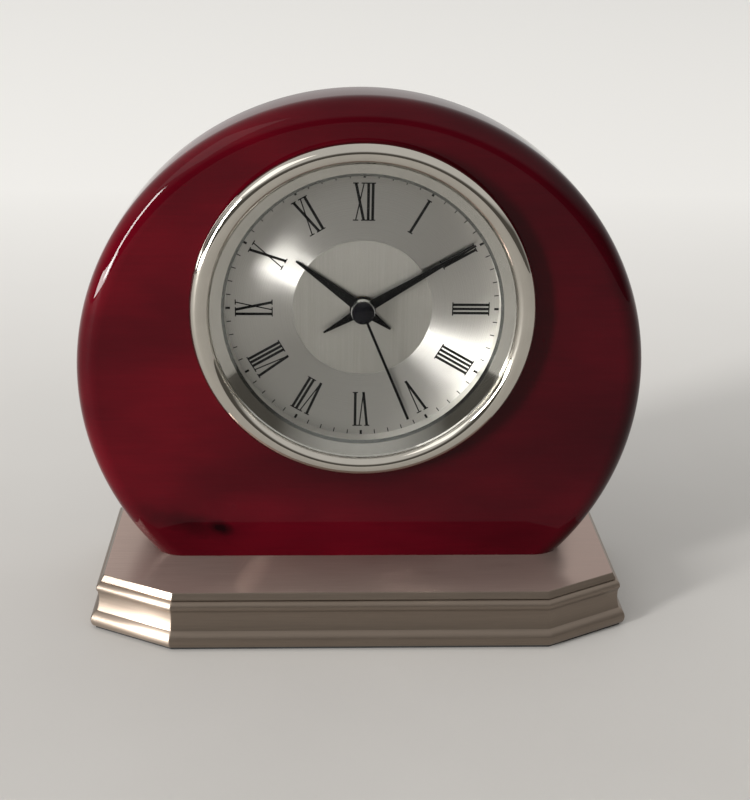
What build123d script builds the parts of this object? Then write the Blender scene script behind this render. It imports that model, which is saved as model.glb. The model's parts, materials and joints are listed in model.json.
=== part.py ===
from build123d import *
import os
from math import atan2, cos, degrees, hypot, radians, sin

# Desk clock: a lacquered wooden slab with a press-in quartz insert, on a moulded metal plinth.
# Millimetres. Z is up, the dial faces -Y, and the origin lies under the middle of the plinth's pad.

# Wooden body: a disc with rounded rims, cut flat at the foot
body_radius = 76.0
body_depth = 24.0
body_edge_radius = 6.0
body_flat_drop = 50.5
dial_rise = 20.8

# Plinth: a long octagon at its top edge, with a hollow under it
plinth_half_width = 69.5
plinth_half_depth = 32.4
plinth_front_half_width = 50.0
plinth_corner_depth = 10.2
plinth_wall = 3.0
plinth_roof = 3.2

# Moulding round the plinth, from the top edge down: heights, then how far each step stands out
band_height = 1.7
groove_height = 0.3
lip_height = 2.7
cove_height = 5.5
foot_height = 4.3
band_outset = 1.0
groove_outset = 0.75
lip_outset = 2.15
cove_top_outset = 1.85
cove_foot_outset = 2.4
cove_dip = 0.35
foot_outset = 4.0
foot_sole_outset = 3.6
foot_crown_share = 0.53

# Pad under the plinth, and the two screws that hold the wood
pad_thickness = 1.0
pad_inset = 0.8
base_screw_spacing = 60.0
base_screw_radius = 2.0
base_screw_reach = 14.0
base_screw_head_radius = 3.6
base_screw_head_height = 2.4
base_screw_slot_width = 1.0
base_washer_radius = 5.0
base_washer_thickness = 0.8
screw_boss_radius = 6.5
screw_boss_height = 2.6
screw_clearance = 0.3

# Clearances
fit_gap = 0.05
running_gap = 0.05
cut_overrun = 1.0

# Bezel, lens and the ring over the dial
bezel_width = 5.3
bezel_crest = 5.0
bezel_shoulder = 2.4
bezel_draft = 0.3
bezel_opening_step = 0.15
bezel_skirt_length = 3.0
bezel_skirt_wall = 0.8
lens_overlap = 0.6
lens_thickness = 1.3
lens_chamfer = 0.3
lens_rise = 5.8
dial_ring_radius = 36.3
dial_ring_wall = 0.45
dial_ring_step = 3.8
dial_ring_land = 0.6
dial_depth = 4.0
dial_thickness = 0.8

# Insert case: a cup with a ledge for the dial, and the rubber band round it
case_wall = 1.85
case_ledge_width = 1.6
case_ledge_thickness = 1.5
case_floor = 1.6
case_recess = 1.2
case_boss_radius = 2.5
grip_band_room = 0.95
grip_band_width = 12.0
grip_band_ribs = 4
grip_band_rib_depth = 0.4

# Battery, its pocket, contacts and cover
battery_radius = 5.25
battery_length = 44.5
battery_nub_radius = 1.9
battery_nub_length = 0.8
battery_drop = 21.0
battery_gap = 0.4
pocket_wall = 1.4
pocket_end_room = 1.9
cover_thickness = 1.4
cover_ledge = 0.9
cover_gap = 0.25
cover_corner_radius = 1.5
cover_ridge_count = 5
cover_ridge_pitch = 2.2
cover_ridge_width = 0.8
cover_ridge_height = 0.4
cover_ridge_length = 7.0
cover_tongue_length = 12.0
cover_tongue_thickness = 0.8
cover_tongue_reach = 1.2
contact_thickness = 0.4
contact_width = 5.0
contact_lead_width = 1.5
contact_gap = 0.3
contact_fold = 0.8
lead_tap = 1.5

# Hands: length from the dial axis or room left outside the tip, tail, width at the hub, and the angle
# clockwise from twelve
hour_hand_length = 21.7
hour_hand_tail = 9.2
hour_hand_width = 3.3
hour_hand_angle = 306.5
minute_hand_tip_gap = 2.4
minute_hand_tail = 12.0
minute_hand_width = 2.8
minute_hand_angle = 58.8
second_hand_tip_gap = 3.9
second_hand_width = 0.7
second_hand_angle = 157.3
hand_tip_width = 0.45
hand_thickness = 0.35
hand_rise = 0.45
hand_step = 0.8
hour_hub_radius = 3.4
minute_hub_radius = 2.7
second_hub_radius = 2.2
collet_radius = 3.1
collet_height = 2.0
collet_gap = 0.2
cap_radius = 2.95
cap_height = 1.15
cap_rim = 0.35

# Movement frame: two plates on posts
plate_radius = 35.6
plate_edge_gap = 1.25
plate_rim_gap = 0.5
front_plate_thickness = 1.4
back_plate_thickness = 1.2
post_radius = 2.5
movement_screw_radius = 1.0
movement_screw_reach = 5.0
movement_screw_head_radius = 1.9
movement_screw_head_height = 1.0
movement_screw_slot_width = 0.5
bush_wall = 0.85
bush_flange_width = 1.2
bush_flange_thickness = 0.3

# Arbors and pipes
second_arbor_radius = 0.75
minute_pipe_wall = 0.9
hour_pipe_wall = 0.75
wheel_arbor_radius = 0.6
pivot_radius = 0.4
pivot_length = 0.8
end_shake = 0.1
set_arbor_radius = 1.0
set_arbor_hole_gap = 0.4

# Toothed wheels: thickness, and the air left between neighbouring layers
wheel_thickness = 0.8
layer_gap = 0.4
pinion_overhang = 0.2

# Tooth counts of the train, from the motor to the hands
rotor_teeth = 12
intermediate_teeth = 60
intermediate_pinion_teeth = 10
seconds_teeth = 60
seconds_pinion_teeth = 8
third_teeth = 60
third_pinion_teeth = 8
centre_teeth = 64
cannon_teeth = 12
minute_teeth = 36
minute_pinion_teeth = 10
hour_teeth = 40

# Centre distances, and each axis's bearing seen from the front (degrees from +X towards +Z)
third_distance = 12.0
third_bearing = -8.0
intermediate_distance = 12.6
intermediate_bearing = 60.0
rotor_distance = 10.8
rotor_bearing = 120.0
set_distance = 13.2
set_bearing = 150.0

# Tooth form, as shares of the module (heights) and of the tooth pitch (half widths)
addendum_share = 0.75
dedendum_share = 1.2
tip_half_share = 0.09
root_half_share = 0.27

# Motor, coil and circuit
magnet_radius = 2.6
magnet_thickness = 3.0
stator_air_gap = 0.5
stator_thickness = 1.0
stator_width = 28.0
stator_bar_height = 7.6
stator_leg_width = 4.5
coil_rise = 30.0
coil_length = 18.0
coil_radius = 2.8
bobbin_flange_radius = 3.2
bobbin_flange_thickness = 1.0
bobbin_wall = 0.6
core_height = 3.0
board_left = 31.0
board_right = 14.6
board_top = 14.0
board_bottom = 11.0
board_thickness = 1.0
board_stud_radius = 1.5
board_stud_inset = 4.0
chip_size = 5.0
chip_height = 1.0
chip_corner_share = 0.15
crystal_radius = 0.9
crystal_length = 6.0

# Setting knob at the back
knob_radius = 5.0
knob_length = 4.5
knob_gap = 0.5
knob_flutes = 14
knob_flute_radius = 0.7
knob_edge_radius = 0.6

# Heights and depths that follow
plinth_height = band_height + groove_height + lip_height + cove_height + foot_height
plinth_top = pad_thickness + plinth_height
body_centre_height = plinth_top + body_flat_drop
dial_height = body_centre_height + dial_rise
wood_front = -body_depth / 2
wood_back = body_depth / 2
dial_front = wood_front + dial_depth
dial_back = dial_front + dial_thickness
lens_back = dial_front - lens_rise
lens_front = lens_back - lens_thickness
case_rim = dial_front - dial_ring_step
case_back = wood_back - case_recess
case_inside = case_back - case_floor

# Radii of the insert, from the inside out: the case takes the movement and the ring that stands on the dial
case_inner_radius = max(
    plate_radius + plate_rim_gap + case_ledge_width,
    dial_ring_radius + dial_ring_wall + fit_gap,
)
case_radius = case_inner_radius + case_wall
bore_radius = case_radius + grip_band_room
bezel_opening_radius = case_radius + bezel_opening_step
bezel_radius = bezel_opening_radius + bezel_width
lens_radius = bezel_opening_radius + lens_overlap
minute_hand_length = dial_ring_radius - minute_hand_tip_gap
second_hand_length = dial_ring_radius - second_hand_tip_gap

# Pipes, from the inside out
minute_pipe_bore = second_arbor_radius + running_gap
minute_pipe_radius = minute_pipe_bore + minute_pipe_wall
hour_pipe_bore = minute_pipe_radius + running_gap
hour_pipe_radius = hour_pipe_bore + hour_pipe_wall
bush_bore = hour_pipe_radius + running_gap
bush_radius = bush_bore + bush_wall

# Hand layers, from the dial outwards
hour_hand_back = dial_front - hand_rise
hour_hand_front = hour_hand_back - hand_thickness
minute_hand_back = hour_hand_back - hand_step
minute_hand_front = minute_hand_back - hand_thickness
collet_front = minute_hand_front - collet_height
second_hand_back = collet_front - collet_gap
second_hand_front = second_hand_back - hand_thickness

# Wheel layers, from the front plate to the back plate
front_plate_back = dial_back + front_plate_thickness
hour_wheel_front = front_plate_back + layer_gap
hour_wheel_back = hour_wheel_front + wheel_thickness
minute_wheel_front = hour_wheel_back + layer_gap
minute_wheel_back = minute_wheel_front + wheel_thickness
centre_wheel_front = minute_wheel_back + layer_gap
centre_wheel_back = centre_wheel_front + wheel_thickness
third_wheel_front = centre_wheel_back + 2 * layer_gap
third_wheel_back = third_wheel_front + wheel_thickness
seconds_wheel_front = third_wheel_back + 2 * layer_gap
seconds_wheel_back = seconds_wheel_front + wheel_thickness
intermediate_wheel_front = seconds_wheel_back + 2 * layer_gap
intermediate_wheel_back = intermediate_wheel_front + wheel_thickness
back_plate_front = intermediate_wheel_back + 2 * layer_gap
back_plate_back = back_plate_front + back_plate_thickness

# Battery pocket
battery_depth = case_back - cover_thickness - battery_gap - battery_radius
pocket_front = battery_depth - battery_radius - battery_gap
pocket_half_height = battery_radius + battery_gap
pocket_half_length = battery_length / 2 + pocket_end_room
cover_seat = case_back - cover_thickness
lead_back = back_plate_front - contact_gap
lead_front = lead_back - contact_lead_width
plate_flat_drop = battery_drop - pocket_half_height - pocket_wall - plate_edge_gap


def bearing_point(distance, bearing, start=(0, 0)):
    """Point at a distance and bearing from another point, seen from the front."""
    turn = radians(bearing)
    return (start[0] + distance * cos(turn), start[1] + distance * sin(turn))


# Axes of the movement, as (x, height above the dial axis)
dial_axis = (0, 0)
third_axis = bearing_point(third_distance, third_bearing)
intermediate_axis = bearing_point(intermediate_distance, intermediate_bearing)
rotor_axis = bearing_point(rotor_distance, rotor_bearing, intermediate_axis)
set_axis = bearing_point(set_distance, set_bearing)

# Motor and circuit
magnet_back = intermediate_wheel_front - 2 * layer_gap
magnet_front = magnet_back - magnet_thickness
stator_front = (magnet_front + magnet_back - stator_thickness) / 2
stator_back = stator_front + stator_thickness
stator_leg_place = (stator_width - stator_leg_width) / 2
coil_axis = (rotor_axis[0], coil_rise)
bobbin_radius = hypot(core_height, stator_thickness) / 2 + bobbin_wall
board_back = lead_front
board_front = board_back - board_thickness
board_middle = (-(board_left + board_right) / 2, (board_top - board_bottom) / 2)
stator_studs = [(rotor_axis[0] + side * stator_leg_place, rotor_axis[1]) for side in (-1, 1)]
board_studs = [
    (board_stud_inset - board_left, board_top - board_stud_inset),
    (board_stud_inset - board_left, board_stud_inset - board_bottom),
]

# Posts between the plates and bosses behind them, as shares of the plate radius
post_shares = ((0.76, -0.17), (0.76, 0.45), (-0.73, 0.53), (-0.315, -0.258))
case_boss_shares = ((0.72, 0.1), (-0.72, 0.1), (0, 0.72))

# Modules, from the centre distances
rotor_module = 2 * rotor_distance / (rotor_teeth + intermediate_teeth)
intermediate_module = 2 * intermediate_distance / (intermediate_pinion_teeth + seconds_teeth)
seconds_module = 2 * third_distance / (seconds_pinion_teeth + third_teeth)
third_module = 2 * third_distance / (third_pinion_teeth + centre_teeth)
cannon_module = 2 * set_distance / (cannon_teeth + minute_teeth)
minute_module = 2 * set_distance / (minute_pinion_teeth + hour_teeth)


def layer(depth, axis=dial_axis, turn=0):
    """Plane that faces the front at a depth, centred on an axis; turn is clockwise, in degrees."""
    angle = radians(turn)
    return Plane(
        origin=(axis[0], depth, dial_height + axis[1]),
        x_dir=(cos(angle), 0, -sin(angle)),
        z_dir=(0, -1, 0),
    )


def section(height=dial_height):
    """Plane that cuts through the middle of the clock, seen from the side: local x is depth, y is height."""
    return Plane(origin=(0, 0, height), x_dir=(0, 1, 0), z_dir=(1, 0, 0))


def dial_spin():
    """Axis through the middle of the dial, from front to back."""
    return Axis((0, 0, dial_height), (0, 1, 0))


def disc(radius, front, back, axis=dial_axis, mode=Mode.ADD):
    """Add or cut a round bar between two depths in the part that is being built."""
    with BuildSketch(layer(back, axis)) as outline:
        Circle(radius=radius)
    extrude(outline.sketch, amount=back - front, mode=mode)


def gear_corners(teeth, module, phase):
    """Corners of straight-flanked teeth; phase is the bearing of one tooth's middle."""
    pitch_radius = teeth * module / 2
    tip_radius = pitch_radius + addendum_share * module
    root_radius = pitch_radius - dedendum_share * module
    pitch_angle = 360 / teeth
    tooth_form = (
        (root_radius, -root_half_share),
        (tip_radius, -tip_half_share),
        (tip_radius, tip_half_share),
        (root_radius, root_half_share),
    )
    return [
        bearing_point(radius, phase + (tooth + share) * pitch_angle)
        for tooth in range(teeth)
        for radius, share in tooth_form
    ]


def toothed_disc(axis, teeth, module, phase, front, back):
    """Add a toothed disc between two depths to the part that is being built."""
    with BuildSketch(layer(back, axis)) as outline:
        with BuildLine():
            Polyline(*gear_corners(teeth, module, phase), close=True)
        make_face()
    extrude(outline.sketch, amount=back - front)


def arbor(axis):
    """Add a wheel's arbor between the plates, with a pivot in each."""
    disc(wheel_arbor_radius, front_plate_back + end_shake, back_plate_front - end_shake, axis)
    disc(pivot_radius, front_plate_back - pivot_length, back_plate_front + pivot_length, axis)


def coil_plane(start):
    """Plane across the coil, at a distance along it from its middle."""
    place = (coil_axis[0] + start, stator_front - stator_thickness / 2, dial_height + coil_axis[1])
    return Plane(origin=place, x_dir=(0, 1, 0), z_dir=(1, 0, 0))


def bearing_between(start, end):
    """Bearing from one axis to another, in degrees."""
    return degrees(atan2(end[1] - start[1], end[0] - start[0]))


def driver_phase(axis, driven_axis):
    """A driving wheel has a tooth on the line of centres."""
    return bearing_between(axis, driven_axis)


def driven_phase(axis, driver_axis, teeth):
    """A driven wheel has a gap on the line of centres."""
    return bearing_between(axis, driver_axis) + 180 / teeth


def moulding_outline(half_width):
    """Draw the plinth's cross-section between two opposite moulded faces, in the current line."""
    band_drop = band_height
    groove_drop = band_drop + groove_height
    lip_drop = groove_drop + lip_height
    cove_drop = lip_drop + cove_height
    for side in (-1, 1):
        def point(outset, drop):
            return (side * (half_width + outset), plinth_top - drop)
        Polyline(point(0, 0), point(band_outset, band_drop), point(groove_outset, groove_drop))
        ThreePointArc(
            point(groove_outset, groove_drop),
            point(lip_outset, groove_drop + lip_height / 2),
            point(cove_top_outset, lip_drop),
        )
        ThreePointArc(
            point(cove_top_outset, lip_drop),
            point((cove_top_outset + cove_foot_outset) / 2 - cove_dip, lip_drop + cove_height / 2),
            point(cove_foot_outset, cove_drop),
        )
        ThreePointArc(
            point(cove_foot_outset, cove_drop),
            point(foot_outset, cove_drop + foot_height * foot_crown_share),
            point(foot_sole_outset, plinth_height),
        )
    Line((-half_width, plinth_top), (half_width, plinth_top))
    Line((-half_width - foot_sole_outset, pad_thickness), (half_width + foot_sole_outset, pad_thickness))


def plinth_corners():
    """Corners of the plinth's top edge, all the way round."""
    front = plinth_half_depth
    side_front = plinth_half_depth - plinth_corner_depth
    quarter = ((plinth_front_half_width, front), (plinth_half_width, side_front))
    right = [(x, -y) for x, y in quarter] + [(x, y) for x, y in reversed(quarter)]
    return right + [(-x, -y) for x, y in right]


def base_screw_places():
    """The two screws under the body, left and right."""
    return GridLocations(base_screw_spacing, 0, 2, 1)


def plate_outline():
    """Draw a movement plate: a disc with its foot cut off above the battery pocket."""
    Circle(radius=plate_radius)
    with Locations((0, -plate_flat_drop)):
        Rectangle(2 * plate_radius, plate_radius, align=(Align.CENTER, Align.MAX), mode=Mode.SUBTRACT)


def post_places():
    """Places of the posts between the two plates."""
    return Locations(*[(x * plate_radius, z * plate_radius) for x, z in post_shares])


def hand_outline(length, tail, width, hub_radius):
    """Draw a tapered hand that points up, with its tail and hub."""
    with BuildLine() as blade:
        Polyline(
            (-hand_tip_width / 2, length),
            (hand_tip_width / 2, length),
            (width / 2, 0),
            (hand_tip_width / 2, -tail),
            (-hand_tip_width / 2, -tail),
            (-width / 2, 0),
            close=True,
        )
    make_face(blade.edges())
    Circle(radius=hub_radius)


os.makedirs("parts", exist_ok=True)


def write(piece, name):
    """Label a finished piece and write it under its node's name."""
    piece.part.label = name
    export_step(piece.part, f"parts/{name}.step")


# Wooden body
with BuildPart() as wood_body:
    with BuildSketch(Plane(origin=(0, wood_back, body_centre_height), x_dir=(1, 0, 0), z_dir=(0, -1, 0))):
        Circle(radius=body_radius)
    extrude(amount=body_depth)
    fillet(wood_body.edges().filter_by(GeomType.CIRCLE), radius=body_edge_radius)
    with BuildSketch(Plane.XY.offset(plinth_top)):
        Rectangle(2 * body_radius, body_depth + 2 * cut_overrun)
    extrude(amount=-(body_radius - body_flat_drop + cut_overrun), mode=Mode.SUBTRACT)
    disc(bore_radius, wood_front - cut_overrun, wood_back + cut_overrun, mode=Mode.SUBTRACT)
    with BuildSketch(Plane.XY.offset(plinth_top)):
        with base_screw_places():
            Circle(radius=base_screw_radius + fit_gap)
    extrude(amount=base_screw_reach + fit_gap, mode=Mode.SUBTRACT)
write(wood_body, "wood_body")

# Metal plinth: the crossing of four straight mouldings, hollow from below, with two screw bosses
corner_run = plinth_half_width - plinth_front_half_width
corner_length = hypot(corner_run, plinth_corner_depth)
corner_half_width = (
    plinth_front_half_width * plinth_corner_depth + plinth_half_depth * corner_run
) / corner_length
corner_turn = degrees(atan2(corner_run, plinth_corner_depth))
with BuildPart() as base_plinth:
    reach = plinth_half_width + plinth_half_depth
    with BuildSketch(Plane.YZ):
        with BuildLine():
            moulding_outline(plinth_half_depth)
        make_face()
    extrude(amount=reach, both=True)
    for turn, half_width in (
        (0, plinth_half_width),
        (corner_turn, corner_half_width),
        (-corner_turn, corner_half_width),
    ):
        outward = (cos(radians(turn)), sin(radians(turn)), 0)
        along = (sin(radians(turn)), -cos(radians(turn)), 0)
        with BuildSketch(Plane(origin=(0, 0, 0), x_dir=outward, z_dir=along)):
            with BuildLine():
                moulding_outline(half_width)
            make_face()
        extrude(amount=reach, both=True, mode=Mode.INTERSECT)
    with BuildSketch(Plane.XY.offset(pad_thickness)):
        with BuildLine():
            Polyline(*plinth_corners(), close=True)
        make_face()
        offset(amount=-plinth_wall, kind=Kind.INTERSECTION, mode=Mode.REPLACE)
    extrude(amount=plinth_height - plinth_roof, mode=Mode.SUBTRACT)
    with BuildSketch(Plane.XY.offset(plinth_top - plinth_roof)):
        with base_screw_places():
            Circle(radius=screw_boss_radius)
    extrude(amount=-screw_boss_height)
    with BuildSketch(Plane.XY.offset(plinth_top)):
        with base_screw_places():
            Circle(radius=base_screw_radius + screw_clearance)
    extrude(amount=-plinth_height, mode=Mode.SUBTRACT)
write(base_plinth, "base_plinth")

# Pad under the plinth
with BuildPart() as base_pad:
    with BuildSketch(Plane.XY):
        with BuildLine():
            Polyline(*plinth_corners(), close=True)
        make_face()
        offset(amount=foot_sole_outset - pad_inset, kind=Kind.INTERSECTION, mode=Mode.REPLACE)
    extrude(amount=pad_thickness)
write(base_pad, "base_pad")

# Screws and washers that hold the wood to the plinth
boss_face = plinth_top - plinth_roof - screw_boss_height
washer_face = boss_face - base_washer_thickness
with BuildPart() as base_washers:
    with BuildSketch(Plane.XY.offset(washer_face)):
        with base_screw_places():
            Circle(radius=base_washer_radius)
            Circle(radius=base_screw_radius + fit_gap, mode=Mode.SUBTRACT)
    extrude(amount=base_washer_thickness)
write(base_washers, "base_washers")

with BuildPart() as base_screws:
    with BuildSketch(Plane.XY.offset(washer_face)):
        with base_screw_places():
            Circle(radius=base_screw_radius)
    extrude(amount=plinth_top + base_screw_reach - washer_face)
    with BuildSketch(Plane.XY.offset(washer_face)):
        with base_screw_places():
            Circle(radius=base_screw_head_radius)
    extrude(amount=-base_screw_head_height)
    with BuildSketch(Plane.XY.offset(washer_face - base_screw_head_height)):
        with base_screw_places():
            Rectangle(2 * base_screw_head_radius, base_screw_slot_width)
    extrude(amount=base_screw_head_height / 2, mode=Mode.SUBTRACT)
write(base_screws, "base_screws")

# Bezel: a rounded ring on the wood, a lip over the lens and a skirt over the case's rim
lens_seat_radius = lens_radius + fit_gap
skirt_bore = case_radius + fit_gap
ring_foot = lens_back + dial_ring_land
with BuildPart() as bezel:
    with BuildSketch(section()):
        with BuildLine():
            crest = ThreePointArc(
                (lens_front, bezel_opening_radius),
                (wood_front - bezel_crest, (bezel_opening_radius + bezel_radius) / 2),
                (wood_front - bezel_shoulder, bezel_radius),
            )
            Polyline(
                crest @ 1,
                (wood_front, bezel_radius - bezel_draft),
                (wood_front, skirt_bore + bezel_skirt_wall),
                (wood_front + bezel_skirt_length, skirt_bore + bezel_skirt_wall),
                (wood_front + bezel_skirt_length, skirt_bore),
                (ring_foot, skirt_bore),
                (ring_foot, lens_seat_radius),
                (lens_front, lens_seat_radius),
                crest @ 0,
            )
        make_face()
    revolve(axis=dial_spin())
write(bezel, "bezel")

# Lens: flat glass with a bevelled rim
with BuildPart() as lens:
    disc(lens_radius, lens_front, lens_back)
    chamfer(lens.edges().filter_by(GeomType.CIRCLE), length=lens_chamfer)
write(lens, "lens")

# Sloping ring: a thin pressing that stands on the dial, with a flange that carries the lens
ring_slope = (bezel_opening_radius - dial_ring_radius) / (case_rim - lens_back)
ring_back_radius = bezel_opening_radius - ring_slope * dial_ring_land + dial_ring_wall
with BuildPart() as dial_ring:
    with BuildSketch(section()):
        with BuildLine():
            Polyline(
                (dial_front, dial_ring_radius),
                (case_rim, dial_ring_radius),
                (lens_back, bezel_opening_radius),
                (lens_back, lens_radius),
                (ring_foot, lens_radius),
                (ring_foot, ring_back_radius),
                (case_rim, dial_ring_radius + dial_ring_wall),
                (dial_front, dial_ring_radius + dial_ring_wall),
                close=True,
            )
        make_face()
    revolve(axis=dial_spin())
write(dial_ring, "dial_ring")

# Dial
with BuildPart() as dial:
    disc(case_inner_radius - fit_gap, dial_front, dial_back)
    disc(bush_radius + fit_gap, dial_front, dial_back, mode=Mode.SUBTRACT)
write(dial, "dial")

# Insert case: a cup with a ledge for the dial, a battery pocket and bosses behind the movement
case_bosses = [(x * plate_radius, z * plate_radius) for x, z in case_boss_shares]
with BuildPart() as insert_case:
    with BuildSketch(section()):
        with BuildLine():
            Polyline(
                (case_rim, case_radius),
                (case_back, case_radius),
                (case_back, 0),
                (case_inside, 0),
                (case_inside, case_inner_radius),
                (dial_back + case_ledge_thickness, case_inner_radius),
                (dial_back + case_ledge_thickness, case_inner_radius - case_ledge_width),
                (dial_back, case_inner_radius - case_ledge_width),
                (dial_back, case_inner_radius),
                (case_rim, case_inner_radius),
                close=True,
            )
        make_face()
    revolve(axis=dial_spin())
    with BuildSketch(layer(case_inside)):
        with Locations((0, -battery_drop)):
            Rectangle(2 * (pocket_half_length + pocket_wall), 2 * (pocket_half_height + pocket_wall))
    extrude(amount=case_inside - pocket_front + pocket_wall)
    with BuildSketch(layer(case_back)):
        with Locations((0, -battery_drop)):
            Rectangle(2 * pocket_half_length, 2 * pocket_half_height)
    extrude(amount=case_back - pocket_front, mode=Mode.SUBTRACT)
    with BuildSketch(layer(case_back)):
        with Locations((0, -battery_drop)):
            RectangleRounded(
                2 * (pocket_half_length + cover_ledge + cover_gap),
                2 * (pocket_half_height + cover_ledge + cover_gap),
                cover_corner_radius + cover_gap,
            )
    extrude(amount=cover_thickness, mode=Mode.SUBTRACT)
    with BuildSketch(layer(case_inside)):
        with Locations(*case_bosses):
            Circle(radius=case_boss_radius)
    extrude(amount=case_inside - back_plate_back)
    disc(set_arbor_radius + set_arbor_hole_gap, case_inside - cut_overrun, case_back + cut_overrun,
         set_axis, Mode.SUBTRACT)
    with BuildSketch(layer(lead_back + contact_gap)):
        with Locations((0, -battery_drop)):
            with GridLocations(2 * (pocket_half_length - contact_thickness - contact_gap), 0, 2, 1):
                Rectangle(
                    2 * (contact_thickness + contact_gap),
                    pocket_half_height + pocket_wall + cut_overrun,
                    align=(Align.CENTER, Align.MIN),
                )
    extrude(amount=contact_lead_width + 2 * contact_gap, mode=Mode.SUBTRACT)
write(insert_case, "insert_case")

# Rubber band that grips the bore, with sharp ribs all round
rib_tip = bore_radius - fit_gap
rib_width = grip_band_width / grip_band_ribs
band_bore = case_radius + fit_gap
rib_corners = [(grip_band_width / 2, rib_tip - grip_band_rib_depth)]
for rib in range(grip_band_ribs):
    rib_end = grip_band_width / 2 - rib * rib_width
    rib_corners.append((rib_end - rib_width / 2, rib_tip))
    rib_corners.append((rib_end - rib_width, rib_tip - grip_band_rib_depth))
with BuildPart() as grip_band:
    with BuildSketch(section()):
        with BuildLine():
            Polyline(
                (-grip_band_width / 2, band_bore),
                (grip_band_width / 2, band_bore),
                *rib_corners,
                close=True,
            )
        make_face()
    revolve(axis=dial_spin())
write(grip_band, "grip_band")

# Battery, lying across the foot of the case
battery_height = dial_height - battery_drop
with BuildPart() as battery:
    with BuildSketch(Plane.YZ.offset(-battery_length / 2)):
        with Locations((battery_depth, battery_height)):
            Circle(radius=battery_radius)
    extrude(amount=battery_length - battery_nub_length)
    with BuildSketch(Plane.YZ.offset(battery_length / 2)):
        with Locations((battery_depth, battery_height)):
            Circle(radius=battery_nub_radius)
    extrude(amount=-2 * battery_nub_length)
write(battery, "battery")

# Contacts: a plate at each end of the pocket, and a lead from it up to the circuit board
contact_x = pocket_half_length - contact_thickness / 2
contact_back = battery_depth + contact_width / 2
lead_height = pocket_half_height + pocket_wall + contact_gap + contact_thickness / 2 - battery_drop
lead_top = lead_tap - board_bottom
with BuildPart() as contact_positive:
    with BuildSketch(layer(contact_back)):
        with Locations((contact_x, -battery_drop)):
            Rectangle(contact_thickness, 2 * battery_radius)
    extrude(amount=contact_width)
    with BuildSketch(Plane.YZ.offset(pocket_half_length - contact_thickness)):
        with Locations((battery_depth, battery_height)):
            Circle(radius=battery_nub_radius)
    extrude(amount=-(pocket_end_room - contact_thickness - fit_gap))
    with BuildSketch(layer(lead_back)):
        with BuildLine():
            Polyline(
                (contact_x, -battery_drop),
                (contact_x, lead_height),
                (-board_right - board_stud_inset, lead_height),
                (-board_right - board_stud_inset, lead_top),
            )
        trace(line_width=contact_thickness)
    extrude(amount=contact_lead_width)
write(contact_positive, "contact_positive")

leaf_crest = battery_length / 2 + contact_thickness / 2 + fit_gap
with BuildPart() as contact_negative:
    with BuildSketch(layer(contact_back)):
        with BuildLine():
            Polyline(
                (-contact_x, battery_radius - battery_drop),
                (-contact_x, -battery_radius - battery_drop),
                (-contact_x + contact_fold, -battery_radius - battery_drop),
                (-leaf_crest, -battery_drop),
                (-contact_x + contact_fold, battery_radius / 2 - battery_drop),
            )
        trace(line_width=contact_thickness)
    extrude(amount=contact_width)
    with BuildSketch(layer(lead_back)):
        with BuildLine():
            Polyline((-contact_x, -battery_drop), (-contact_x, lead_top))
        trace(line_width=contact_thickness)
    extrude(amount=contact_lead_width)
write(contact_negative, "contact_negative")

# Battery cover: a plate flush with the case's back, two tongues inside and grip ridges outside
tongue_place = pocket_half_height - cover_gap - cover_tongue_thickness / 2
with BuildPart() as battery_cover:
    with BuildSketch(layer(case_back)):
        with Locations((0, -battery_drop)):
            RectangleRounded(
                2 * (pocket_half_length + cover_ledge),
                2 * (pocket_half_height + cover_ledge),
                cover_corner_radius,
            )
    extrude(amount=cover_thickness)
    with BuildSketch(layer(cover_seat)):
        with Locations((0, tongue_place - battery_drop), (0, -tongue_place - battery_drop)):
            Rectangle(cover_tongue_length, cover_tongue_thickness)
    extrude(amount=cover_tongue_reach)
    with BuildSketch(layer(case_back)):
        with Locations((0, -battery_drop)):
            with GridLocations(cover_ridge_pitch, 0, cover_ridge_count, 1):
                Rectangle(cover_ridge_width, cover_ridge_length)
    extrude(amount=-cover_ridge_height)
write(battery_cover, "battery_cover")

# Movement frame: the front plate with its posts and studs, the bush, the back plate and its screws
with BuildPart() as front_plate:
    with BuildSketch(layer(front_plate_back)):
        plate_outline()
        Circle(radius=bush_radius + fit_gap, mode=Mode.SUBTRACT)
    extrude(amount=front_plate_thickness)
    with BuildSketch(layer(front_plate_back)):
        with post_places():
            Circle(radius=post_radius)
    extrude(amount=-(back_plate_front - front_plate_back))
    with BuildSketch(layer(front_plate_back)):
        with Locations(*stator_studs):
            Circle(radius=board_stud_radius)
    extrude(amount=-(stator_front - front_plate_back))
    with BuildSketch(layer(front_plate_back)):
        with Locations(*board_studs):
            Circle(radius=board_stud_radius)
    extrude(amount=-(board_front - front_plate_back))
    with BuildSketch(layer(back_plate_front)):
        with post_places():
            Circle(radius=movement_screw_radius + fit_gap)
    extrude(amount=movement_screw_reach, mode=Mode.SUBTRACT)
    for axis in (third_axis, intermediate_axis, rotor_axis, set_axis):
        disc(pivot_radius + running_gap, front_plate_back - pivot_length - end_shake, front_plate_back,
             axis, Mode.SUBTRACT)
write(front_plate, "front_plate")

with BuildPart() as centre_bush:
    disc(bush_radius, dial_front, front_plate_back)
    disc(bush_radius + bush_flange_width, front_plate_back, front_plate_back + bush_flange_thickness)
    disc(bush_bore, dial_front, front_plate_back + bush_flange_thickness, mode=Mode.SUBTRACT)
write(centre_bush, "centre_bush")

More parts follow.
